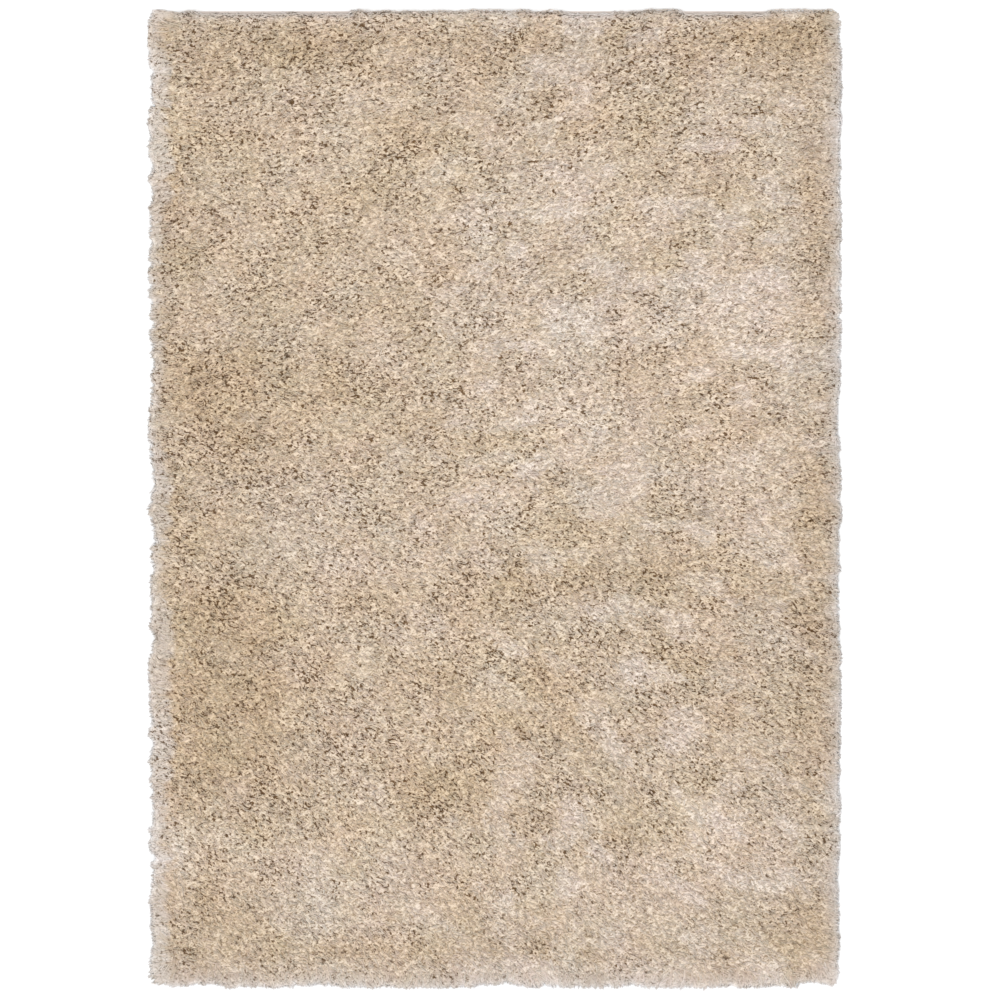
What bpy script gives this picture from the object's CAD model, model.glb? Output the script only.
# Shag rug: its cut pile yarn by yarn, the tufted ground under the yarns, and the hemmed backing
# cloth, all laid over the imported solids. Metres, +Z up, +Y towards the head of the rug.
import math
from functools import partialmethod

import bmesh
import bpy
import numpy as np
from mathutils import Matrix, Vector
from mathutils.bvhtree import BVHTree


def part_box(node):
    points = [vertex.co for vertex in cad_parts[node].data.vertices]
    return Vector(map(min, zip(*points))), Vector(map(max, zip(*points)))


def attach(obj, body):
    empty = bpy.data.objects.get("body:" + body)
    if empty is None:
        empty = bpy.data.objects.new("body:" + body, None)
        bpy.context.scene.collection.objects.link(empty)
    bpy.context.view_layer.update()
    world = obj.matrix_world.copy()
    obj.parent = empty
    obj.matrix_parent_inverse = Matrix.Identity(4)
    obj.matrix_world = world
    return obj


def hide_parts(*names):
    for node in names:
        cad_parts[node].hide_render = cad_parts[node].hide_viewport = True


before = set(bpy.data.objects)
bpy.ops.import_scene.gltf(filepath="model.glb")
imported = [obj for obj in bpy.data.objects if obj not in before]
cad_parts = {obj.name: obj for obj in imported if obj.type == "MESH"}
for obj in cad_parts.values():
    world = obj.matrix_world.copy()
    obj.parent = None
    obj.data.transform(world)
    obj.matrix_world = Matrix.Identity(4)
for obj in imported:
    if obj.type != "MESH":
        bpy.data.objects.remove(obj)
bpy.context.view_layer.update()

dice = np.random.default_rng(23)


# a wire is a node's output that can be added, multiplied and so on
class Wire:
    def __init__(self, finish, socket):
        self.finish = finish
        self.socket = socket

    def joined(self, operation, other, turned=False):
        left, right = (other, self) if turned else (self, other)
        if self.socket.type == "RGBA":  # colours go through Mix, because Math turns them grey
            settings = {"data_type": "RGBA", "blend_type": operation}
            return self.finish.node("ShaderNodeMix", settings, {0: 1.0, 6: left, 7: right}, out=2)
        kind = "ShaderNodeVectorMath" if self.socket.type == "VECTOR" else "ShaderNodeMath"
        return self.finish.node(kind, {"operation": operation}, {0: left, 1: right})

    __add__ = partialmethod(joined, "ADD")
    __radd__ = partialmethod(joined, "ADD", turned=True)
    __sub__ = partialmethod(joined, "SUBTRACT")
    __rsub__ = partialmethod(joined, "SUBTRACT", turned=True)
    __mul__ = partialmethod(joined, "MULTIPLY")
    __rmul__ = partialmethod(joined, "MULTIPLY", turned=True)

    def wave(self):
        return self.finish.worked("SINE", self)

    def raised(self, power):
        return self.finish.worked("POWER", self, power)

    def between(self, low, high):  # 0 below low, 1 above high
        limits = {"From Min": low, "From Max": high}
        return self.finish.node("ShaderNodeMapRange", sockets={"Value": self, **limits})


class Finish:
    def __init__(self, name):
        self.material = bpy.data.materials.new(name)
        self.material.use_nodes = True
        self.tree = self.material.node_tree
        self.shader = self.tree.nodes["Principled BSDF"]

    # any node: its type, its settings, and the values or wires of its sockets
    def node(self, kind, settings=None, sockets=None, out=0):
        made = self.tree.nodes.new(kind)
        for name, value in (settings or {}).items():
            if name == "stops":
                self.setStops(made.color_ramp, value)
            else:
                setattr(made, name, value)
        self.plug(made, sockets or {})
        return Wire(self, made.outputs[out])

    def setStops(self, ramp, stops):
        while len(ramp.elements) < len(stops):
            ramp.elements.new(1.0)
        for element, (place, colour) in zip(ramp.elements, stops):
            element.position = place
            element.color = (*colour, 1.0)

    def plug(self, made, sockets):
        for name, value in sockets.items():
            socket = made.inputs[name]
            if isinstance(value, Wire):
                self.tree.links.new(value.socket, socket)
            elif socket.type == "RGBA" and len(value) == 3:
                socket.default_value = (*value, 1.0)
            elif socket.type == "VECTOR" and isinstance(value, (int, float)):
                socket.default_value = (value, value, value)
            else:
                socket.default_value = value

    def surface(self, **sockets):
        self.plug(self.shader, {name.replace("_", " "): value for name, value in sockets.items()})
        return self.material

    def place(self):
        return self.node("ShaderNodeTexCoord", out="Object")

    def attribute(self, name):
        return self.node("ShaderNodeAttribute", {"attribute_name": name}, out="Fac")

    def grain(self, place, scale, detail=2.0, roughness=0.5):
        sockets = {"Vector": place, "Scale": scale, "Detail": detail, "Roughness": roughness}
        return self.node("ShaderNodeTexNoise", sockets=sockets)

    def threads(self, place, direction, scale):
        settings = {"bands_direction": direction}
        return self.node("ShaderNodeTexWave", settings, {"Vector": place, "Scale": scale}, out="Fac")

    def worked(self, operation, *values):
        return self.node("ShaderNodeMath", {"operation": operation}, dict(enumerate(values)))

    def mixed(self, share, first, second):
        return self.node("ShaderNodeMix", {"data_type": "RGBA"}, {0: share, 6: first, 7: second}, out=2)

    def bump(self, height, strength, distance, over=None):
        sockets = {"Height": height, "Strength": strength, "Distance": distance}
        if over:
            sockets["Normal"] = over
        return self.node("ShaderNodeBump", sockets=sockets, out="Normal")

    def axisOf(self, vector, axis):
        return self.node("ShaderNodeSeparateXYZ", sockets={0: vector}, out=axis)

    # the surface's direction turned partly upwards, because fuzzy yarn spreads the light it gets
    def softened(self, share):
        facing = self.node("ShaderNodeNewGeometry", out="Normal")
        upturned = facing * (1.0 - share) + Vector((0.0, 0.0, share))
        return self.node("ShaderNodeVectorMath", {"operation": "NORMALIZE"}, {0: upturned})


def eased(share):
    share = np.clip(share, 0.0, 1.0)
    return share * share * (3.0 - 2.0 * share)


# 0 before start, 1 from full on, and smooth between them
def ramp(values, start, full):
    return eased((values - start) / (full - start))


def unit(vectors):
    return vectors / np.maximum(np.linalg.norm(vectors, axis=-1, keepdims=True), 1e-9)


# a grid's values between the columns near and far and between the rows low and high
def blended(grid, near, far, low, high, a, b):
    return (
        (grid[near, low] * (1 - a) + grid[far, low] * a) * (1 - b)
        + (grid[near, high] * (1 - a) + grid[far, high] * a) * b
    )


# smooth values between -1 and 1 that change over the given length; settings whose names end in
# Wave hold that length and the seed, or the length, the stretch along the nap and the seed
def wander(x, y, length, seed):
    size = 256
    knots = np.random.default_rng(seed).uniform(-1, 1, (size, size))
    across, along = x / length + size, y / length + size
    column, row = np.floor(across).astype(int), np.floor(along).astype(int)
    a, b = eased(across - column), eased(along - row)
    near, far = column % size, (column + 1) % size
    low, high = row % size, (row + 1) % size
    return blended(knots, near, far, low, high, a, b)


# how far places are along and across a direction
def turnedBy(degrees, x, y):
    turn = math.radians(degrees)
    return x * math.cos(turn) + y * math.sin(turn), y * math.cos(turn) - x * math.sin(turn)


def placed(name, data):
    made = bpy.data.objects.new(name, data)
    bpy.context.scene.collection.objects.link(made)
    return made


def meshFrom(bm, name):
    mesh = bpy.data.meshes.new(name)
    bm.to_mesh(mesh)
    bm.free()
    return mesh


# values for each point of a mesh, which its finish reads by name
def setMarks(mesh, marks):
    for mark, values in marks.items():
        layer = mesh.attributes.new(mark, "FLOAT", "POINT")
        layer.data.foreach_set("value", values.astype(np.float32))


sides = ("left", "right", "foot", "head")


def bySide(*values):
    return dict(zip(sides, values))


outwards = bySide((-1, 0), (1, 0), (0, -1), (0, 1))
rug = {
    "overhang": bySide(0.006, 0.004, 0.006, -0.018),  # of the pile's slab, past the backing
    "backingRadius": 0.040,
    "groundRadius": 0.045,
    "outlineRadii": {"headLeft": 0.012, "headRight": 0.026, "footLeft": 0.028, "footRight": 0.036},
    "rimFoot": 0.005,  # how high the outermost yarns lie
    "fall": 0.8,  # how straight the rim falls: 1 is a straight slope
    "heightStep": 0.010,  # between the places where the solid's height is read
    "heightBlur": 2,
}


def edgesOf(box):
    return bySide(box[0].x, box[1].x, box[0].y, box[1].y)


def sizeOf(edges):
    return edges["right"] - edges["left"], edges["head"] - edges["foot"]


def grown(edges, by):
    return {side: edges[side] + by[side] * sum(outwards[side]) for side in sides}


backingEdges = edgesOf(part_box("backing"))
outlineEdges = edgesOf(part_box("pile"))
slabEdges = grown(backingEdges, rug["overhang"])  # where the pile's slab ends and its rim begins
spill = {side: abs(outlineEdges[side] - slabEdges[side]) for side in sides}


# how far each place is beyond each of these edges, positive outside
def beyond(edges, x, y):
    return bySide(edges["left"] - x, x - edges["right"], edges["foot"] - y, y - edges["head"])


# the height of the pile solid's top on a grid over the slab, a little smoothed
def readHeights():
    step = rug["heightStep"]
    tree = BVHTree.FromObject(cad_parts["pile"], bpy.context.evaluated_depsgraph_get())
    xs = np.arange(slabEdges["left"], slabEdges["right"] + step, step)
    ys = np.arange(slabEdges["foot"], slabEdges["head"] + step, step)
    heights = np.zeros((len(xs), len(ys)))
    for i, x in enumerate(np.clip(xs, slabEdges["left"] + step, slabEdges["right"] - step)):
        for j, y in enumerate(np.clip(ys, slabEdges["foot"] + step, slabEdges["head"] - step)):
            place, _, _, _ = tree.ray_cast(Vector((x, y, 1.0)), Vector((0, 0, -1)))
            heights[i, j] = place.z if place else rug["rimFoot"]
    for _ in range(rug["heightBlur"]):
        wide = np.pad(heights, 1, mode="edge")
        heights = (wide[:-2, 1:-1] + wide[2:, 1:-1] + wide[1:-1, :-2] + wide[1:-1, 2:]
                   + 2 * wide[1:-1, 1:-1]) / 6
    return heights


heightGrid = readHeights()
print("read the pile's heights:", heightGrid.shape)


# the height of the pile's top anywhere, falling away past the slab's edges
def topAt(x, y):
    mostX, mostY = (count - 1.001 for count in heightGrid.shape)  # just short of the grid's end
    across = np.clip((x - slabEdges["left"]) / rug["heightStep"], 0, mostX)
    along = np.clip((y - slabEdges["foot"]) / rug["heightStep"], 0, mostY)
    i, j = across.astype(int), along.astype(int)
    a, b = across - i, along - j
    height = blended(heightGrid, i, i + 1, j, j + 1, a, b)
    for side, distance in beyond(slabEdges, x, y).items():
        share = np.clip(1 - distance / spill[side], 0, 1) ** rug["fall"]
        height = rug["rimFoot"] + (height - rug["rimFoot"]) * np.where(distance > 0, share, 1)
    return height


# places moved to lie inside a rectangle with rounded corners
def rounded(x, y, left, right, foot, head, radius):
    x, y = np.clip(x, left, right), np.clip(y, foot, head)
    nearX = np.clip(x, left + radius, right - radius)
    nearY = np.clip(y, foot + radius, head - radius)
    distance = np.hypot(x - nearX, y - nearY)
    share = np.where(distance > radius, radius / np.maximum(distance, 1e-9), 1.0)
    return nearX + (x - nearX) * share, nearY + (y - nearY) * share


# the uneven outline of the pile: how far it falls short of the solids' furthest reach
outline = {
    "least": bySide(-0.009, -0.001, -0.005, 0.003),
    "most": bySide(0.012, 0.010, 0.013, 0.012),
    "widths": (0.110, 0.034, 0.012),  # of its bays, tufts and locks
    "depths": (0.34, 0.40, 0.26),  # as shares of the range above
    "middle": 0.45,  # where in that range it lies on the whole
    "seed": 51,
    "bite": bySide(0.009, 0.003, 0.004, 0.0),  # where a tuft is missing
    "biteWidth": 0.026,
    "biteSeed": 91,
    "biteRamp": (0.52, 0.68),
    "bareHem": ((-0.73, -0.35), (0.16, 0.29), (0.45, 0.67)),  # where the hem shows at the head
    "bareShortfall": 0.0175,
}


def isBare(x):
    return sum(((x > start) & (x < end)).astype(int) for start, end in outline["bareHem"]) > 0


# what counts along a side: x at the head and the foot, y on the left and the right
def alongside(side, x, y):
    return y if side in ("left", "right") else x


def shortfallAt(side, along):
    first = 3 * sides.index(side)
    least, most = outline["least"][side], outline["most"][side]
    share = np.full(len(along), outline["middle"])
    for number, (width, depth) in enumerate(zip(outline["widths"], outline["depths"])):
        share += depth * wander(along, 0 * along, width, outline["seed"] + first + number)
    short = least + (most - least) * np.clip(share, 0, 1)
    notch = wander(along, 0 * along, outline["biteWidth"], outline["biteSeed"] + first)
    short += outline["bite"][side] * ramp(notch, *outline["biteRamp"])
    if side == "head":
        short = np.where(isBare(along), outline["bareShortfall"], short)
    return short


# where the pile's uneven outline runs beside each place, drawn in by this margin
def unevenEdges(x, y, margin):
    inwards = {side: -shortfallAt(side, alongside(side, x, y)) for side in sides}
    return grown(grown(outlineEdges, inwards), dict.fromkeys(sides, -margin))


# places moved to lie inside that outline, by at least the margin
def heldIn(x, y, margin):
    radii = rug["outlineRadii"]
    radius = np.where(y > 0, np.where(x < 0, radii["headLeft"], radii["headRight"]),
                      np.where(x < 0, radii["footLeft"], radii["footRight"]))
    return np.stack(rounded(x, y, **unevenEdges(x, y, margin), radius=radius), 1)


# which way the pile leans out over each edge, and how fully: 0 in the field, 1 at the outline
lie = {
    "lead": 0.012,  # how far inside the slab's edge the yarns begin to turn outwards
    "outward": bySide(0.85, 0.7, 0.7, 0.4),
    "light": bySide(-0.014, 0.052, 0.010, 0.090),  # gained at the outline
    "lightWidth": bySide(0.032, 0.017, 0.020, 0.022),
    "pale": bySide(1.0, 0.92, 1.0, 0.45),  # less colour at the outline
    "paleWidth": bySide(0.013, 0.015, 0.011, 0.0080),
    "cool": bySide(0.0, 0.48, 0.60, 0.26),  # how much less warm it is
    "coolWidth": bySide(0.10, 0.13, 0.16, 0.10),
    "rimBusy": 0.1,  # how pitted the outline is, against 1 from calmWidth inwards
    "calmWidth": bySide(0.020, 0.027, 0.026, 0.004),
    "bandWidths": (0.022, 0.060),  # the pale band that lies along the left outline
    "bandSway": 0.6,
    "bandSwayWave": (0.16, 55),
    "bandFray": 0.3,
    "bandFrayWave": (0.02, 56),
    "bandLight": 0.010,
    "bandHue": 0.2,
    "bandPale": 0.32,
    "bandCalm": 0.22,
    "crease": 0.028,  # a darker, warmer strip along the band's inner edge
    "creaseWidth": 0.010,
    "creaseHue": 0.3,
    "headLine": 0.008,  # a darker line along the head, and how wide it is
    "headLineWidth": 0.0035,
}


# how far each place is inside the pile's uneven outline, side by side
def insideBy(x, y):
    distances = beyond(outlineEdges, x, y)
    for side, distance in distances.items():
        distances[side] = np.maximum(-distance - shortfallAt(side, alongside(side, x, y)), 0)
    return distances


# the strongest of the sides' amounts at each place, each fading inwards over its width
def rimFade(x, y, amounts, widths):
    fade = np.zeros_like(x)
    for side, distance in insideBy(x, y).items():
        amount = amounts[side] * np.exp(-distance / widths[side])
        fade = np.where(np.abs(amount) > np.abs(fade), amount, fade)
    return fade


# the pale band along the left outline, and the crease inside it, each from 0 to 1
def leftBand(x, y):
    least, most = lie["bandWidths"]
    share = 0.5 + lie["bandSway"] * wander(y, 0 * y, *lie["bandSwayWave"])
    share = share + lie["bandFray"] * wander(x, y, *lie["bandFrayWave"])
    inner = insideBy(x, y)["left"] - least - (most - least) * np.clip(share, 0, 1)
    band = eased(0.5 - inner / lie["creaseWidth"])
    return band, np.exp(-((inner / lie["creaseWidth"] - 1) ** 2))


# broad patches: lighter where the yarns lie flat, darker and warmer where they stand up;
# each one's middle, half its width and length, its turn in degrees, and its light
patches = (
    (0.35, 0.40, 0.38, 0.50, 0, 0.028),
    (0.15, 0.77, 0.17, 0.10, 0, 0.042),
    (0.15, 0.42, 0.08, 0.16, 10, 0.020),
    (0.20, 0.16, 0.10, 0.12, 20, 0.040),
    (0.55, 0.47, 0.15, 0.13, 0, 0.030),
    (0.60, 0.08, 0.11, 0.09, 0, 0.048),
    (-0.02, -0.02, 0.08, 0.06, 0, 0.045),
    (0.53, -0.83, 0.10, 0.12, 20, 0.055),
    (0.20, -1.08, 0.65, 0.05, 0, -0.022),
    (-0.45, -1.10, 0.30, 0.06, 0, -0.020),
    (0.05, -1.105, 0.85, 0.035, 0, -0.070),
    (-0.73, -0.40, 0.05, 0.70, 0, -0.030),
    (-0.79, -0.85, 0.06, 0.14, 0, 0.060),
    (0.00, 1.11, 0.80, 0.06, 0, -0.060),
    (0.25, 1.08, 0.09, 0.06, 0, -0.025),
    (-0.25, 0.42, 0.08, 0.08, 0, 0.045),
    (-0.25, 0.59, 0.09, 0.07, 0, 0.025),
    (-0.08, 0.27, 0.17, 0.07, 0, 0.028),
    (0.41, 0.60, 0.08, 0.07, 0, -0.035),
    (0.50, -0.45, 0.14, 0.10, 0, -0.032),
    (-0.48, -0.09, 0.15, 0.06, -30, 0.050),
    (-0.50, 0.68, 0.06, 0.22, -40, 0.025),
    (0.05, -0.73, 0.07, 0.05, 0, 0.030),
    (-0.62, -0.48, 0.18, 0.28, 0, -0.090),
    (-0.60, 0.20, 0.24, 0.15, 0, -0.060),
    (-0.60, 1.11, 0.25, 0.07, 0, -0.055),
    (0.68, 1.14, 0.10, 0.07, 0, -0.075),
    (-0.72, 0.82, 0.10, 0.22, 0, -0.045),
    (-0.26, 0.76, 0.08, 0.06, 0, -0.040),
    (0.06, 0.98, 0.09, 0.06, 0, -0.025),
    (0.22, -0.20, 0.20, 0.06, 4, -0.045),
    (-0.25, -0.25, 0.09, 0.06, 0, -0.030),
    (0.64, -0.25, 0.17, 0.06, -16, -0.068),
    (-0.15, -0.72, 0.09, 0.08, 0, -0.050),
    (0.24, -0.64, 0.08, 0.06, 0, -0.035),
    (-0.23, -0.48, 0.10, 0.09, 0, -0.025),
    (-0.64, -1.04, 0.12, 0.06, 0, -0.040),
    (0.77, -1.04, 0.08, 0.07, 0, -0.050),
    (0.62, -1.02, 0.16, 0.12, 0, -0.026),
    (0.75, 0.32, 0.06, 0.13, 0, -0.030),
    (0.79, 0.00, 0.06, 1.20, 0, -0.085),
)


def patchLight(x, y):
    total = np.zeros_like(x)
    for middleX, middleY, halfWidth, halfLength, degrees, light in patches:
        across, along = turnedBy(degrees, x - middleX, y - middleY)
        total += light * np.exp(-((across / halfWidth) ** 2 + (along / halfLength) ** 2))
    return total


# smaller brushed places, drawn out along the nap: flat, pale and pinkish, with few pits
brushed = {
    "wave": (0.046, 1.9, 101),
    "fineWave": (0.0184, 1.9, 103),
    "shares": (0.70, 0.30),  # of both sizes
    "ramp": (0.12, 0.45),
    "onLeft": 0.30,  # how strong they are on the left, against 1 on the right
    "rightRamp": (-0.40, 0.15),  # where they grow stronger
    "light": 0.050,
    "hue": 0.36,
    "calm": 0.52,
    "usual": 0.16,  # about the mean of brushedAt
}


def brushedAt(x, y):
    coarse, fine = brushed["shares"]
    field = coarse * alongNap(x, y, *brushed["wave"])
    field += fine * alongNap(x, y, *brushed["fineWave"])
    strength = brushed["onLeft"] + (1 - brushed["onLeft"]) * ramp(x, *brushed["rightRamp"])
    return ramp(field, *brushed["ramp"]) * strength


cloud = {
    "lengths": (0.150, 0.070, 0.035, 0.020),  # the mottling's sizes
    "amounts": (0.028, 0.026, 0.013, 0.004),
    "stretch": 1.3,
    "seed": 40,
    "streak": 0.012,  # long narrow streaks along the nap
    "streakWave": (0.011, 3.5, 91),
    "patches": 0.90,  # how strongly the patches show
    "hues": (0.17, 0.14, 0.12, 0.08),  # the same sizes of warmer and cooler areas
    "hueStretch": 1.2,
    "hueSeed": 140,
    "hueStray": 0.12,  # of single yarns
    "usualHue": 0.56,  # how warm the pile is where nothing changes it
    "lightHue": 3.9,  # how much cooler the lighter areas are
}


# the mottling of each size at these places, lighter and darker
def mottlingAt(x, y):
    for number, (length, amount) in enumerate(zip(cloud["lengths"], cloud["amounts"])):
        yield number, amount, alongNap(x, y, length, cloud["stretch"], cloud["seed"] + 2 * number)


# how much lighter or darker the yarns of a place are, as a share
def lightAt(x, y):
    total = patchLight(x, y) * cloud["patches"]
    for _, amount, field in mottlingAt(x, y):
        total += amount * field
    total += cloud["streak"] * alongNap(x, y, *cloud["streakWave"])
    total += brushed["light"] * (brushedAt(x, y) - brushed["usual"])
    total += rimFade(x, y, lie["light"], lie["lightWidth"])
    band, crease = leftBand(x, y)
    headLine = np.exp(-insideBy(x, y)["head"] / lie["headLineWidth"])
    return total + lie["bandLight"] * band - lie["crease"] * crease - lie["headLine"] * headLine


# how much less colour the yarns of a place have, which shows at the rim
def paleAt(x, y):
    pale = rimFade(x, y, lie["pale"], lie["paleWidth"])
    return np.maximum(pale, lie["bandPale"] * leftBand(x, y)[0])


# how warm the yarns of a place are, from 0 (pinkish grey) to 1 (ochre)
def warmthAt(x, y):
    total = cloud["usualHue"] - cloud["lightHue"] * patchLight(x, y)
    total -= brushed["hue"] * (brushedAt(x, y) - brushed["usual"])
    total -= rimFade(x, y, lie["cool"], lie["coolWidth"])
    band, crease = leftBand(x, y)
    total += lie["creaseHue"] * crease - lie["bandHue"] * band
    for number, amount, field in mottlingAt(x, y):
        length, hue, seed = cloud["lengths"][number], cloud["hues"][number], cloud["hueSeed"]
        total += hue * alongNap(x, y, length, cloud["hueStretch"], seed + 2 * number)
        total -= cloud["lightHue"] * amount * field
    return np.clip(total, 0, 1)


nap = {
    "headAngle": 3.0,  # degrees: the line along which the yarns lie at the head of the rug
    "footAngle": -36.0,
    "turnRamp": (0.05, 0.80),  # where it starts and stops turning, as shares of the rug's length
    "wander": 14.0,  # degrees
    "wanderWave": (0.22, 31),
    "leftSpread": 34.0,  # degrees, how much single tufts stray from the line on the left
    "rightSpread": 19.0,
    "leftward": 0.62,  # the share of the tufts that lean to the left along the line
    "rimSpread": 24.0,  # how much single tufts stray from straight outwards at the rim
    "rimSwirl": 58.0,  # how much whole locks do
    "swirlWave": (0.038, 33),
}


# 0 at the foot of the rug, 1 at its head
def headward(y):
    return np.clip((y - backingEdges["foot"]) / sizeOf(backingEdges)[1], 0, 1)


# how far the nap has turned from its foot angle to its head angle
def turnedShare(y):
    return ramp(headward(y), *nap["turnRamp"])


# smooth values drawn out along the nap
def alongNap(x, y, length, stretch, seed):
    share = turnedShare(y)
    along, across = turnedBy(nap["footAngle"], x, y)
    foot = wander(along / stretch, across, length, seed)
    along, across = turnedBy(nap["headAngle"], x, y)
    head = wander(along / stretch, across, length, seed + 1)
    return (foot * (1 - share) + head * share) / np.sqrt((1 - share) ** 2 + share**2)


# the directions in which yarns at these places lean
def leanOf(x, y):
    over = (x - backingEdges["left"]) / sizeOf(backingEdges)[0]
    line = nap["footAngle"] + (nap["headAngle"] - nap["footAngle"]) * turnedShare(y)
    line = line + nap["wander"] * wander(x, y, *nap["wanderWave"])
    spread = nap["leftSpread"] + (nap["rightSpread"] - nap["leftSpread"]) * np.clip(over, 0, 1)
    flip = np.where(dice.random(len(x)) < nap["leftward"], 180.0, 0.0)
    angle = np.radians(line + dice.normal(0, 1, len(x)) * spread + flip)
    out = np.zeros((len(x), 2))
    for side, distance in beyond(slabEdges, x, y).items():
        share = eased((distance + lie["lead"]) / (spill[side] + lie["lead"]))
        out += (share * lie["outward"][side])[:, None] * np.array(outwards[side])
    edge = np.minimum(np.linalg.norm(out, axis=1), 1)
    stray = nap["rimSpread"] * dice.normal(0, 1, len(x))
    stray += nap["rimSwirl"] * wander(x, y, *nap["swirlWave"])
    aside = np.arctan2(out[:, 1], out[:, 0]) + np.radians(stray)
    return unit(turned(angle, 1 - edge) + turned(aside, edge))


relief = {
    "lumpWave": (0.027, 71),
    "lumpHeight": 0.0011,
    "tuftWave": (0.013, 73),
    "tuftHeight": 0.0011,
    "pitWave": (0.0095, 1.2, 61),  # the pits between tufts, where the pile parts over its dark roots
    "pitFineWave": (0.0060, 65),
    "pitShares": (0.62, 0.38),  # of both sizes
    "pitRamp": (0.25, 0.50),
    "pitDepth": 0.004,
    "pitShade": 0.07,
    "clumpWave": (0.050, 67),  # the pits come in clumps
    "clump": 0.42,
    "calm": 4.5,  # how much flatter and less pitted the lighter patches are
    "calmLimits": (0.45, 1.25),
    "footCalm": 0.44,
    "footRamp": (-0.70, -1.05),  # where it grows calmer
    "rightCalm": 0.28,
    "rightRamp": (0.40, 0.75),
}


# how pitted the pile is at each place: less on light patches, at the foot and on the right
def busyAt(x, y):
    busy = np.clip(1 - relief["calm"] * patchLight(x, y), *relief["calmLimits"])
    busy *= 1 + relief["clump"] * wander(x, y, *relief["clumpWave"])
    busy *= 1 - brushed["calm"] * brushedAt(x, y)
    busy *= 1 - lie["bandCalm"] * leftBand(x, y)[0]
    busy *= 1 - relief["footCalm"] * ramp(y, *relief["footRamp"])
    busy *= 1 - relief["rightCalm"] * ramp(x, *relief["rightRamp"])
    for side, distance in insideBy(x, y).items():
        share = eased(distance / lie["calmWidth"][side])
        busy *= lie["rimBusy"] + (1 - lie["rimBusy"]) * share
    return busy


# how fully each place lies in a pit, from 0 to 1
def pitAt(x, y):
    coarse, fine = relief["pitShares"]
    field = coarse * alongNap(x, y, *relief["pitWave"])
    field += fine * wander(x, y, *relief["pitFineWave"])
    return ramp(field, *relief["pitRamp"]) * busyAt(x, y)


# the height of the pile's lumps over its smooth top
def reliefAt(x, y):
    lumps = relief["lumpHeight"] * wander(x, y, *relief["lumpWave"])
    lumps += relief["tuftHeight"] * wander(x, y, *relief["tuftWave"])
    return lumps - relief["pitDepth"] * pitAt(x, y)


def turned(angle, length):
    return np.stack([np.cos(angle) * length, np.sin(angle) * length], 1)


# each yarn has a cell of its mesh's map: the margin in it, and where its ends and rings lie
yarnMap = {"margin": 0.10, "ends": (0.03, 0.97), "rings": (0.16, 0.82)}


# yarns are three-sided and pointed at both ends, and many make one mesh;
# these are the corners and faces of one with this many rings, and its own little map
def yarnPattern(rings):
    tip = 3 * rings + 1
    faces, corners = [], []
    start, end = yarnMap["ends"]
    stations = [start, *np.linspace(*yarnMap["rings"], rings), end]
    for j in range(3):
        k = (j + 1) % 3
        left, right = j / 3, (j + 1) / 3
        faces.append((0, 1 + k, 1 + j))
        corners.append((((left + right) / 2, stations[0]), (right, stations[1]), (left, stations[1])))
        for ring in range(rings - 1):
            a, b = 1 + 3 * ring, 4 + 3 * ring
            low, high = stations[ring + 1], stations[ring + 2]
            faces.append((a + j, a + k, b + k, b + j))
            corners.append(((left, low), (right, low), (right, high), (left, high)))
        last = tip - 3
        faces.append((last + j, last + k, tip))
        corners.append(((left, stations[-2]), (right, stations[-2]), ((left + right) / 2, stations[-1])))
    return faces, corners


# the corner points of yarns around their centre lines, each n x (rings + 2) x 3
def yarnPoints(lines, radius, twist, swell):
    count, stops, _ = lines.shape
    tangent = np.zeros_like(lines)
    tangent[:, 1:-1] = unit(lines[:, 2:] - lines[:, :-2])
    chord = lines[:, -1] - lines[:, 0]
    side = unit(np.stack([-chord[:, 1], chord[:, 0], np.zeros(count)], 1))
    points = np.zeros((count, 3 * (stops - 2) + 2, 3))
    points[:, 0], points[:, -1] = lines[:, 0], lines[:, -1]
    for ring in range(1, stops - 1):
        across = unit(np.cross(tangent[:, ring], side))
        other = np.cross(tangent[:, ring], across)
        for j in range(3):
            angle = twist + 2 * math.pi * j / 3
            offset = across * np.cos(angle)[:, None] + other * np.sin(angle)[:, None]
            points[:, 3 * ring - 2 + j] = lines[:, ring] + offset * (radius * swell[ring - 1])[:, None]
    return points


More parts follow.
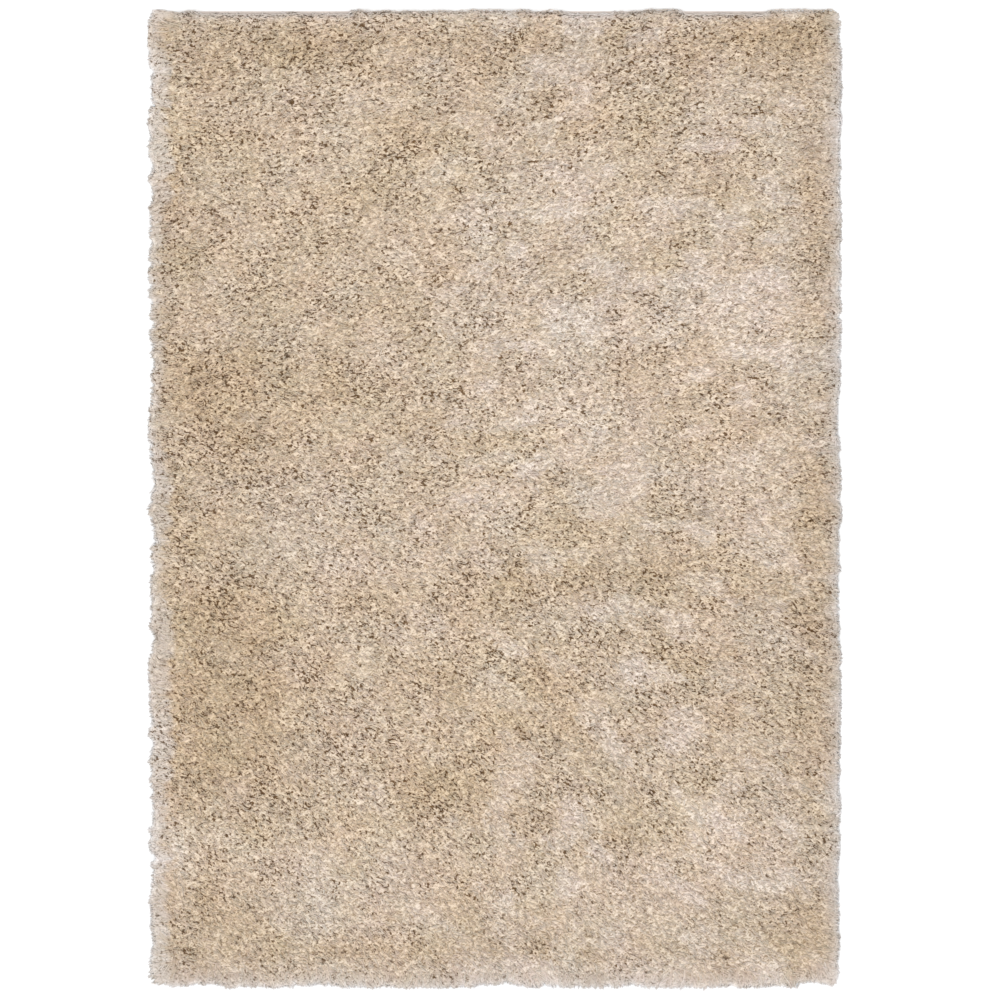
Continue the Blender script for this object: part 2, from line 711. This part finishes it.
# one mesh of many yarns; each batch has yarns of one ring count
def joinYarns(name, batches):
    total = sum(len(batch["lines"]) for batch in batches)
    cells = math.ceil(math.sqrt(total))
    margin = yarnMap["margin"]
    allPoints, loops, sizes, maps, plies = [], [], [], [], []
    marks = {mark: [] for mark in ("along", "tone", "light", "busy", "warmth", "shade", "pale")}
    pointBase = cellBase = 0
    for batch in batches:
        lines = batch["lines"]
        count, stops = lines.shape[:2]
        points = yarnPoints(lines, batch["radius"], batch["twist"], batch["swell"])
        faces, corners = yarnPattern(stops - 2)
        order = np.array([vertex for face in faces for vertex in face])
        place = np.array([corner for face in corners for corner in face])
        perYarn = points.shape[1]
        own = np.arange(count)
        allPoints.append(points.reshape(-1, 3))
        loops.append((pointBase + own[:, None] * perYarn + order).ravel())
        sizes.append(np.tile([len(face) for face in faces], count))
        cell = np.stack([(cellBase + own) % cells, (cellBase + own) // cells], 1)
        inCell = margin + (1 - 2 * margin) * place
        maps.append(((cell[:, None] + inCell) / cells).reshape(-1, 2))
        length = np.linalg.norm(np.diff(lines, axis=1), axis=2).sum(1)
        ply = np.stack(np.broadcast_arrays(place[:, 0], length[:, None] * place[:, 1]), 2)
        plies.append(ply.reshape(-1, 2))
        spread = [1] + [3] * (stops - 2) + [1]  # how many points each stop of a yarn has
        marks["along"].append(np.tile(np.repeat([0, *batch["stations"], 1], spread), count))
        for mark in ("shade", "pale", "busy"):
            marks[mark].append(np.repeat(batch[mark], spread, axis=1).ravel())
        for mark in ("tone", "light", "warmth"):
            marks[mark].append(np.repeat(batch[mark], perYarn))
        pointBase += count * perYarn
        cellBase += count
    mesh = bpy.data.meshes.new(name)
    points = np.concatenate(allPoints)
    mesh.vertices.add(len(points))
    mesh.vertices.foreach_set("co", points.ravel())
    loops, sizes = np.concatenate(loops), np.concatenate(sizes)
    starts = np.cumsum(sizes) - sizes
    mesh.loops.add(len(loops))
    mesh.loops.foreach_set("vertex_index", loops.astype(np.int32))
    mesh.polygons.add(len(starts))
    mesh.polygons.foreach_set("loop_start", starts.astype(np.int32))
    mesh.polygons.foreach_set("use_smooth", np.ones(len(starts), bool))
    mesh.uv_layers.new(name="OFBake").uv.foreach_set("vector", np.concatenate(maps).ravel())
    mesh.uv_layers.new(name="ply").uv.foreach_set("vector", np.concatenate(plies).ravel())
    setMarks(mesh, {mark: np.concatenate(values) for mark, values in marks.items()})
    mesh.update()
    print(name, "yarns", total, "triangles", int((sizes - 2).sum()))
    return placed(name, mesh)


# centre lines that come up from their roots, lie along the pile's top less their depth, and droop
def layYarns(root, tip, depth, habit):
    count = len(root)
    stops = np.array([0.0, *habit["stations"], 1.0])
    reach = tip - root
    sideways = unit(np.stack([-reach[:, 1], reach[:, 0]], 1))
    bow = dice.normal(0, habit["bow"], count)
    curl = dice.normal(0, habit["curl"], count)
    lines = np.zeros((count, len(stops), 3))
    marks = {mark: np.zeros((count, len(stops))) for mark in ("shade", "pale", "busy")}
    for k, share in enumerate(stops):
        aside = bow * math.sin(math.pi * share) + curl * (share**2 - share / 2)
        place = root + reach * share + sideways * aside[:, None]
        x, y = place[:, 0], place[:, 1]
        height = topAt(x, y) + reliefAt(x, y) - depth
        height -= habit["rootDrop"] * (1 - share) ** 3 + habit["tipDrop"] * share**4
        lines[:, k, :2] = place
        lines[:, k, 2] = np.maximum(height, habit["lowest"])
        marks["shade"][:, k] = relief["pitShade"] * pitAt(x, y) + habit["depthShade"] * depth
        marks["pale"][:, k] = paleAt(x, y)
        marks["busy"][:, k] = busyAt(x, y)
    return lines, marks


def makeBatch(root, tip, depth, habit):
    count = len(root)
    lines, marks = layYarns(root, tip, depth, habit)
    x, y = ((root + tip) / 2).T
    isDark = dice.random(count) < habit["darkShare"]
    return {
        **marks,
        "lines": lines,
        "radius": dice.uniform(*habit["radius"], count) * np.where(isDark, habit["darkWidth"], 1),
        "twist": dice.normal(0, habit["twist"], count),
        "swell": habit["swell"],
        "stations": habit["stations"],
        "tone": np.where(isDark, habit["darkTone"], dice.normal(0, 1, count)),
        "light": lightAt(x, y),
        "warmth": np.clip(warmthAt(x, y) + dice.normal(0, cloud["hueStray"], count), 0, 1),
    }


print("fields are ready")

# the yarns of the pile's top, in five bands from foot to head
field = {
    "bands": ("pile_foot", "pile_lower", "pile_middle", "pile_upper", "pile_head"),
    "inset": 0.008,  # from the solids' furthest reach to the outermost yarns
    "stray": 0.60,  # of the pitch
    "clear": bySide(0.008, 0.006, 0.006, 0.0),  # left to the rim's yarns
    "clearShares": (0.4, 1.4),  # how unevenly it is
    "margin": (0.0, 0.003),  # between a yarn's ends and the outline
}
topYarns = {
    "pitch": 0.0113,  # between neighbouring yarns
    "reach": (0.015, 0.027),
    "depth": (0.0, 0.0035),
    "stations": (0.42, 0.90),
    "swell": (1.0, 0.72),
    "radius": (0.0018, 0.0026),
    "twist": 0.5,
    "bow": 0.0022,
    "curl": 0.0045,
    "rootDrop": 0.011,
    "tipDrop": 0.002,
    "lowest": 0.004,
    "depthShade": 22.0,
    "darkShare": 0.03,  # of the yarns are in shade
    "darkTone": -3.0,
    "darkWidth": 0.8,
}
underYarns = {
    **topYarns,
    "reach": (0.016, 0.028),
    "depth": (0.0020, 0.0055),
    "radius": (0.0021, 0.0029),
    "bow": 0.0026,
    "curl": 0.0050,
    "rootDrop": 0.008,
    "tipDrop": 0.001,
}


def plantYarns(habit):
    pitch, inset = habit["pitch"], field["inset"]
    columns, rows = (int((size - 2 * inset) / pitch) for size in sizeOf(outlineEdges))
    i, j = np.meshgrid(np.arange(columns), np.arange(rows), indexing="ij")
    stray = field["stray"] * pitch
    x = outlineEdges["left"] + inset + pitch * (i.ravel() + 0.5) + dice.uniform(-stray, stray, i.size)
    y = outlineEdges["foot"] + inset + pitch * (j.ravel() + 0.5) + dice.uniform(-stray, stray, j.size)
    kept = np.ones(len(x), bool)
    for side, distance in insideBy(x, y).items():
        kept &= distance >= field["clear"][side] * dice.uniform(*field["clearShares"], len(x))
    return x[kept], y[kept]


def growField():
    bands = len(field["bands"])
    batches = [[] for _ in range(bands)]
    for habit in (topYarns, underYarns):
        x, y = plantYarns(habit)
        count = len(x)
        half = leanOf(x, y) * dice.uniform(*habit["reach"], count)[:, None] / 2
        margin = dice.uniform(*field["margin"], count)
        root = heldIn(x - half[:, 0], y - half[:, 1], margin)
        tip = heldIn(x + half[:, 0], y + half[:, 1], margin)
        depth = dice.uniform(*habit["depth"], count)
        band = (headward(y) * bands).astype(int).clip(0, bands - 1)
        for number in range(bands):
            mine = band == number
            batches[number].append(makeBatch(root[mine], tip[mine], depth[mine], habit))
    return [joinYarns(name, batches[number]) for number, name in enumerate(field["bands"])]


# the rim: long yarns rooted at the backing's edge that lie outwards over it, row over row
rimYarns = {
    "name": "pile_rim",
    "spacing": 0.0045,  # between the tips of a row
    "rows": bySide(  # how far each row's tips stop inside the outline
        (0.0005, 0.003, 0.007, 0.012, 0.018),
        (0.0005, 0.003, 0.007, 0.013),
        (0.0005, 0.003, 0.007, 0.012),
        (0.0010, 0.004, 0.008),
    ),
    "rootInset": (0.002, 0.016),
    "uneven": (0.0, 0.002),  # what single yarns add to their row and to its depth
    "stray": bySide(0.32, 0.30, 0.50, 0.60),  # along the edge, of the spill
    "swirl": bySide(0.80, 0.45, 0.70, 0.20),  # the same, in whole locks
    "swirlWave": (0.045, 81),
    "depth": (0.0022, 0.0065),  # of the innermost and of the outermost row
    "stations": (0.36, 0.66, 0.93),
    "swell": (1.0, 1.0, 0.92),
    "radius": (0.0018, 0.0027),
    "twist": 0.35,
    "bow": bySide(0.0065, 0.0050, 0.0055, 0.0025),
    "curl": bySide(0.0095, 0.0070, 0.0080, 0.0025),
    "rootDrop": 0.010,
    "tipDrop": 0.001,
    "lowest": 0.0028,
    "depthShade": 8.0,
    "darkShare": bySide(0.10, 0.04, 0.03, 0.05),
    "darkTone": -3.2,
    "darkWidth": 0.6,
}
# the roll of yarn that ends the pile at its head, a dark line from above
seam = {
    "spacing": 0.010,
    "length": 0.017,
    "clear": 0.010,  # from the rug's corners
    "inset": (0.0005, 0.0025),
    "above": (0.0, 0.0012),
    "stations": (0.30, 0.70),
    "swell": (1.0, 1.0),
    "radius": (0.0011, 0.0016),
    "twist": 0.3,
    "bow": 0.0008,
    "curl": 0.0008,
    "rootDrop": 0.0,
    "tipDrop": 0.0,
    "lowest": 0.0035,
    "depthShade": 0.0,
    "darkShare": 1.0,
    "darkTone": -0.5,
    "darkWidth": 1.0,
}


def growSeam():
    start, end = outlineEdges["left"] + seam["clear"], outlineEdges["right"] - seam["clear"]
    along = np.arange(start, end - seam["length"], seam["spacing"])
    far = np.full(len(along), outlineEdges["head"])
    inset = dice.uniform(*seam["inset"], len(along))
    root = heldIn(along, far, inset)
    tip = heldIn(along + seam["length"], far, inset)
    return makeBatch(root, tip, -dice.uniform(*seam["above"], len(along)), seam)


def growRim():
    batches = [growSeam()]
    for side in sides:
        habit = {**rimYarns, **{name: rimYarns[name][side] for name in ("darkShare", "bow", "curl")}}
        upright = side in ("left", "right")
        low = alongside(side, "left", "foot")
        reach = alongside(side, *sizeOf(outlineEdges))
        count = int(reach / rimYarns["spacing"])
        rows = rimYarns["rows"][side]
        for number, row in enumerate(rows):
            along = outlineEdges[low] + (np.arange(count) + dice.random(count)) / count * reach
            aside = dice.normal(0, rimYarns["stray"][side] * spill[side], count)
            length, seed = rimYarns["swirlWave"]
            swirl = wander(along, 0 * along + row, length, seed + sides.index(side))
            aside += rimYarns["swirl"][side] * spill[side] * swirl
            inset = row + dice.uniform(*rimYarns["rootInset"], count)
            fixed = np.full(count, outlineEdges[side])
            x, y = (fixed, along) if upright else (along, fixed)
            tip = heldIn(x, y, row + dice.uniform(*rimYarns["uneven"], count))
            x, y = (x, y + aside) if upright else (x + aside, y)
            inner = grown(backingEdges, dict.fromkeys(sides, -inset))
            root = np.stack(rounded(x, y, **inner, radius=rug["backingRadius"]), 1)
            upper, lower = rimYarns["depth"]
            under = lower + (upper - lower) * number / (len(rows) - 1)
            under = under + dice.uniform(*rimYarns["uneven"], count)
            batches.append(makeBatch(root, tip, under, habit))
    return joinYarns(rimYarns["name"], batches)


# the tufted ground that shows between the yarns
ground = {
    "name": "pile_ground",
    "pitch": 0.0100,
    "depth": 0.0045,  # under the tops of the yarns
    "foot": 0.0023,
    "fringe": 0.010,  # how far it stops inside the pile's uneven outline
    "lowest": 0.0045,
}


# the points of a rounded rectangle that answer to (u, v) of a square from -1 to 1
def pointsIn(edges, radius, u, v):
    width, length = sizeOf(edges)
    x, y = edges["left"] + width * (u + 1) / 2, edges["foot"] + length * (v + 1) / 2
    return rounded(x, y, **edges, radius=radius)


def buildGround():
    columns, rows = (round(size / ground["pitch"]) for size in sizeOf(outlineEdges))
    bm = bmesh.new()
    bmesh.ops.create_grid(bm, x_segments=columns, y_segments=rows, size=1.0)
    top = list(bm.verts)
    band = bmesh.ops.extrude_edge_only(bm, edges=[e for e in bm.edges if e.is_boundary])["geom"]
    low = [v for v in band if isinstance(v, bmesh.types.BMVert)]
    bmesh.ops.edgeloop_fill(bm, edges=[e for e in bm.edges if e.is_boundary])
    for verts, isTop in ((top, True), (low, False)):
        u, v = np.array([vert.co[:2] for vert in verts]).T
        inner = unevenEdges(*pointsIn(outlineEdges, 0, u, v), ground["fringe"])
        x, y = pointsIn(inner, rug["groundRadius"], u, v)
        height = np.maximum(topAt(x, y) + reliefAt(x, y) - ground["depth"], ground["lowest"])
        if not isTop:
            height = np.full(len(x), ground["foot"])
        for vert, point in zip(verts, np.stack([x, y, height], 1)):
            vert.co = point
    bmesh.ops.recalc_face_normals(bm, faces=bm.faces[:])
    mesh = meshFrom(bm, ground["name"])
    mesh.shade_smooth()
    x, y, _ = np.array([v.co for v in mesh.vertices]).T
    setMarks(mesh, {
        "light": lightAt(x, y),
        "busy": busyAt(x, y),
        "warmth": warmthAt(x, y),
        "shade": relief["pitShade"] * pitAt(x, y),
        "pale": paleAt(x, y),
    })
    print(ground["name"], "triangles of its top", 2 * columns * rows)
    return placed(ground["name"], mesh)


# the backing cloth with its hem
backing = {
    "name": "backing_cloth",
    "thickness": 0.0020,
    "hemWidth": 0.014,
    "hemRise": 0.0009,
    "hemStep": 0.0015,  # how wide the step down from the hem is
    "cornerSteps": 10,
    "warpScale": 130.0,
    "weftScale": 110.0,
    "slubScale": 90.0,
    "colours": ((0.68, 0.59, 0.53), (0.84, 0.75, 0.69)),
    "roughness": 0.80,
    "specular": 0.2,
}


def buildBacking():
    edge = backingEdges
    bm = bmesh.new()
    bmesh.ops.create_grid(bm, x_segments=1, y_segments=1, size=1.0)
    for vert in bm.verts:
        vert.co.x = edge["left"] if vert.co.x < 0 else edge["right"]
        vert.co.y = edge["foot"] if vert.co.y < 0 else edge["head"]
    bmesh.ops.bevel(
        bm, geom=bm.verts[:], offset=rug["backingRadius"], offset_type="OFFSET",
        segments=backing["cornerSteps"], profile=0.5, affect="VERTICES",
    )
    for vert in bm.verts:
        vert.co.z = backing["thickness"] + backing["hemRise"]
    rimEdges = [e for e in bm.edges if e.is_boundary]
    bmesh.ops.inset_region(bm, faces=bm.faces[:], thickness=backing["hemWidth"], use_even_offset=True)
    middle = max(bm.faces, key=lambda face: face.calc_area())
    bmesh.ops.inset_region(bm, faces=[middle], thickness=backing["hemStep"], use_even_offset=True)
    for vert in middle.verts:
        vert.co.z = backing["thickness"]
    band = bmesh.ops.extrude_edge_only(bm, edges=rimEdges)["geom"]
    for vert in band:
        if isinstance(vert, bmesh.types.BMVert):
            vert.co.z = 0.0
    bmesh.ops.edgeloop_fill(bm, edges=[e for e in bm.edges if e.is_boundary])
    bmesh.ops.recalc_face_normals(bm, faces=bm.faces[:])
    return placed(backing["name"], meshFrom(bm, backing["name"]))


# the dark pits between the tufts, and smaller ones between the strokes, drawn out along the nap
pits = {
    "scales": (130.0, 180.0),
    "detail": 1.0,
    "roughness": 0.55,
    "stretches": (1.30, 1.75),
    "starts": (0.560, 0.555),  # the grain above which a pit begins
    "fulls": (0.700, 0.690),
    "power": 1.6,  # how much darker a pit is in its middle
    "strengths": (1.45, 0.92),
    "clumpScale": 15.0,  # some places have deeper pits than others
    "clumpLimits": (0.3, 0.7),
    "clump": (0.45, 1.45),
    "turns": 7,  # how many steps the nap's direction turns in here
    "stray": 0.10,  # how uneven the borders of those steps are, as a share of the rug's length
    "strayScale": 14.0,
}


# places turned so that the nap runs along x
def turnedToNap(finish, place):
    share = finish.axisOf(place, "Y").between(backingEdges["foot"], backingEdges["head"])
    share = share + (finish.grain(place, pits["strayScale"]) - 0.5) * pits["stray"]
    share = share.between(*nap["turnRamp"])
    step = finish.worked("SNAP", share, 1.0 / pits["turns"])
    turn = {"interpolation_type": "SMOOTHSTEP"}
    limits = {"Value": step, "To Min": -nap["footAngle"], "To Max": -nap["headAngle"]}
    degrees = finish.node("ShaderNodeMapRange", turn, limits)
    sockets = {"Vector": place, "Angle": degrees * math.radians(1.0)}
    return finish.node("ShaderNodeVectorRotate", {"rotation_type": "Z_AXIS"}, sockets)


def pitsOf(finish, place):
    lying = turnedToNap(finish, place)
    layers = []
    for size in range(2):
        drawn = lying * Vector((1.0 / pits["stretches"][size], 1.0, 1.0))
        grain = finish.grain(drawn, pits["scales"][size], pits["detail"], pits["roughness"])
        pit = grain.between(pits["starts"][size], pits["fulls"][size]).raised(pits["power"])
        layers.append(pit * pits["strengths"][size])
    clumps = finish.grain(lying, pits["clumpScale"], pits["detail"]).between(*pits["clumpLimits"])
    shallow, deep = pits["clump"]
    depth = clumps * (deep - shallow) + shallow
    return finish.worked("MAXIMUM", *layers) * depth * finish.attribute("busy")


pileColours = {
    "toneAmount": 0.062,
    "lightAmount": 1.6,
    "swing": (0.88, 1.00, 1.20),  # how much of a change in brightness each colour takes
    "pit": (0.225, 0.160, 0.100),  # what a pit leaves of the yarn's colour
    "cool": (0.981, 1.008, 1.090),  # what the coolest and the warmest areas do to it
    "warm": (1.031, 0.987, 0.902),
    "rim": (0.770, 0.750, 0.744),
    "rosy": (1.022, 0.988, 0.992),  # single yarns stray between these two
    "sandy": (0.978, 1.012, 1.004),
    "blush": 0.5,  # how much areas stray the same way
    "blushScale": 8.0,
    "blushDetail": 1.5,
    "blushLimits": (0.33, 0.67),
    "softness": 0.45,
}


# the pile's own colour made paler at its rim, lighter, warmer and pitted where its marks say so
def weathered(finish, colour, change, place):
    colour = colour * finish.mixed(finish.attribute("warmth"), pileColours["cool"], pileColours["warm"])
    blush = finish.grain(place, pileColours["blushScale"], pileColours["blushDetail"])
    blush = blush.between(*pileColours["blushLimits"]) * pileColours["blush"]
    blush = blush + (1 - pileColours["blush"]) / 2
    colour = colour * finish.mixed(blush, pileColours["rosy"], pileColours["sandy"])
    colour = finish.mixed(finish.attribute("pale"), colour, pileColours["rim"])
    change = change + finish.attribute("light") * pileColours["lightAmount"]
    shares = {number: change * swing + 1.0 for number, swing in enumerate(pileColours["swing"])}
    brightness = finish.node("ShaderNodeCombineColor", sockets=shares)
    shade = finish.attribute("shade") + pitsOf(finish, place)
    pitted = finish.mixed(shade.between(0.0, 1.0), (1.0, 1.0, 1.0), pileColours["pit"])
    return colour * brightness * pitted


yarnColours = {
    "stops": (
        (0.00, (0.409, 0.305, 0.215)),
        (0.30, (0.540, 0.435, 0.332)),
        (1.00, (0.625, 0.525, 0.432)),
    ),
    "roughness": 0.62,
    "fuzzRoughness": 0.2,
    "fuzzScale": 900.0,
    "twist": 2500.0,  # of its plies, in radians a metre
    "plyHeight": 0.35,
    "bump": 0.35,
    "bumpDepth": 0.0006,
    "strayTurns": 37.0,  # what makes a stray hue out of a yarn's tone
    "sheen": 0.15,
    "specular": 0.25,
}


def yarnFinish():
    finish = Finish("pile_yarn_finish")
    along = finish.attribute("along")
    place = finish.place()
    colour = finish.node("ShaderNodeValToRGB", {"stops": yarnColours["stops"]}, {"Fac": along})
    tone = finish.attribute("tone")
    stray = (tone * yarnColours["strayTurns"]).wave() * 0.5 + 0.5
    colour = colour * finish.mixed(stray, pileColours["rosy"], pileColours["sandy"])
    colour = weathered(finish, colour, tone * pileColours["toneAmount"], place)
    ply = finish.node("ShaderNodeUVMap", {"uv_map": "ply"})
    around, length = finish.axisOf(ply, "X"), finish.axisOf(ply, "Y")
    strand = around * (2 * math.pi) + length * yarnColours["twist"]
    fuzz = finish.grain(place, yarnColours["fuzzScale"], 3.0, 0.65)
    height = strand.wave() * yarnColours["plyHeight"] + fuzz
    facing = finish.softened(pileColours["softness"])
    return finish.surface(
        Base_Color=colour,
        Roughness=yarnColours["roughness"] + fuzz * yarnColours["fuzzRoughness"],
        Normal=finish.bump(height, yarnColours["bump"], yarnColours["bumpDepth"], facing),
        Sheen_Weight=yarnColours["sheen"],
        Specular_IOR_Level=yarnColours["specular"],
    )


groundColours = {
    "stops": (
        (0.46, (0.330, 0.245, 0.165)),
        (0.54, (0.560, 0.450, 0.335)),
        (0.66, (0.740, 0.630, 0.510)),
    ),
    "strokeScale": 190.0,
    "strokeSize": (2.2, 0.8, 1.0),
    "strokes": ((8, 0.0), (-38, 3.1), (47, 7.7)),  # which way each layer lies, and its shift
    "roughness": 0.70,
    "bump": 0.8,
    "bumpDepth": 0.006,
    "specular": 0.15,
}


# strokes of yarn: noise drawn out along one direction
def strokes(finish, place, degrees, shift):
    sockets = {
        "Vector": place, "Location": (shift, shift * 0.7, 0.0),
        "Rotation": (0.0, 0.0, math.radians(degrees)), "Scale": groundColours["strokeSize"],
    }
    turnedPlace = finish.node("ShaderNodeMapping", {"vector_type": "TEXTURE"}, sockets)
    return finish.grain(turnedPlace, groundColours["strokeScale"], 1.0, 0.5)


def groundFinish():
    finish = Finish("pile_ground_finish")
    place = finish.place()
    height, *layers = [strokes(finish, place, *layer) for layer in groundColours["strokes"]]
    for layer in layers:
        height = finish.worked("MAXIMUM", height, layer)
    colour = finish.node("ShaderNodeValToRGB", {"stops": groundColours["stops"]}, {"Fac": height})
    facing = finish.softened(pileColours["softness"])
    return finish.surface(
        Base_Color=weathered(finish, colour, 0.0, place),
        Roughness=groundColours["roughness"] + height * 0.2,
        Normal=finish.bump(height, groundColours["bump"], groundColours["bumpDepth"], facing),
        Specular_IOR_Level=groundColours["specular"],
    )


def backingFinish():
    finish = Finish("backing_cloth_finish")
    place = finish.place()
    warp = finish.threads(place, "X", backing["warpScale"])
    weft = finish.threads(place, "Y", backing["weftScale"])
    weave = warp * weft
    slub = finish.grain(place, backing["slubScale"], 3.0, 0.6)
    return finish.surface(
        Base_Color=finish.mixed(weave * 0.7 + slub * 0.3, *backing["colours"]),
        Roughness=backing["roughness"] + slub * 0.15,
        Normal=finish.bump(weave + slub * 0.4, 0.5, 0.0008),
        Specular_IOR_Level=backing["specular"],
    )


print("growing the pile")
yarnMaterial = yarnFinish()
yarnPieces = growField() + [growRim()]
for piece in yarnPieces:
    piece.data.materials.append(yarnMaterial)
    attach(piece, "root")

groundPiece = buildGround()
groundPiece.data.materials.append(groundFinish())
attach(groundPiece, "root")
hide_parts("pile")
print("ground laid")

backingPiece = buildBacking()
backingPiece.data.materials.append(backingFinish())
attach(backingPiece, "root")
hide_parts("backing")
print("backing laid")

studio = {
    "floorSize": 80.0,
    "floorDrop": 0.0005,  # just under the backing
    "floorColour": (0.90, 0.90, 0.90),
    "floorRoughness": 0.9,
    "skyStrength": 0.88,
    "sunStrength": 1.65,
    "sunAngle": 40.0,  # degrees across, so that its shadows are soft
    "sunFrom": (-0.12, -0.28, 1.0),
}
view = {
    "centre": (0.0116, -0.0046),
    "across": 2.438,  # of the square picture, at the top of the pile
    "top": 0.040,
    "lens": 200.0,
    "clipEnd": 200.0,
}


def layFloor():
    bm = bmesh.new()
    bmesh.ops.create_grid(bm, x_segments=1, y_segments=1, size=studio["floorSize"] / 2)
    floor = placed("floor", meshFrom(bm, "floor"))
    floor.location.z = -studio["floorDrop"]
    paint = {"Base_Color": studio["floorColour"], "Roughness": studio["floorRoughness"]}
    floor.data.materials.append(Finish("floor_paint").surface(**paint))


def setLights():
    world = bpy.data.worlds.new("studio")
    bpy.context.scene.world = world
    world.use_nodes = True
    sky = world.node_tree.nodes["Background"]
    sky.inputs["Color"].default_value = (1.0, 1.0, 1.0, 1.0)
    sky.inputs["Strength"].default_value = studio["skyStrength"]
    lamp = bpy.data.lights.new("soft_sun", "SUN")
    lamp.energy = studio["sunStrength"]
    lamp.angle = math.radians(studio["sunAngle"])
    sun = placed("soft_sun", lamp)
    sun.rotation_mode = "QUATERNION"
    sun.rotation_quaternion = Vector(studio["sunFrom"]).to_track_quat("Z", "Y")


def setCamera():
    lens = bpy.data.cameras.new("camera")
    lens.lens = view["lens"]
    lens.clip_end = view["clipEnd"]
    camera = placed("camera", lens)
    distance = view["across"] / 2 / (lens.sensor_width / 2 / lens.lens)
    camera.location = (*view["centre"], view["top"] + distance)
    bpy.context.scene.camera = camera


layFloor()
setLights()
setCamera()
bpy.context.scene.view_settings.view_transform = "Standard"
print("studio ready")
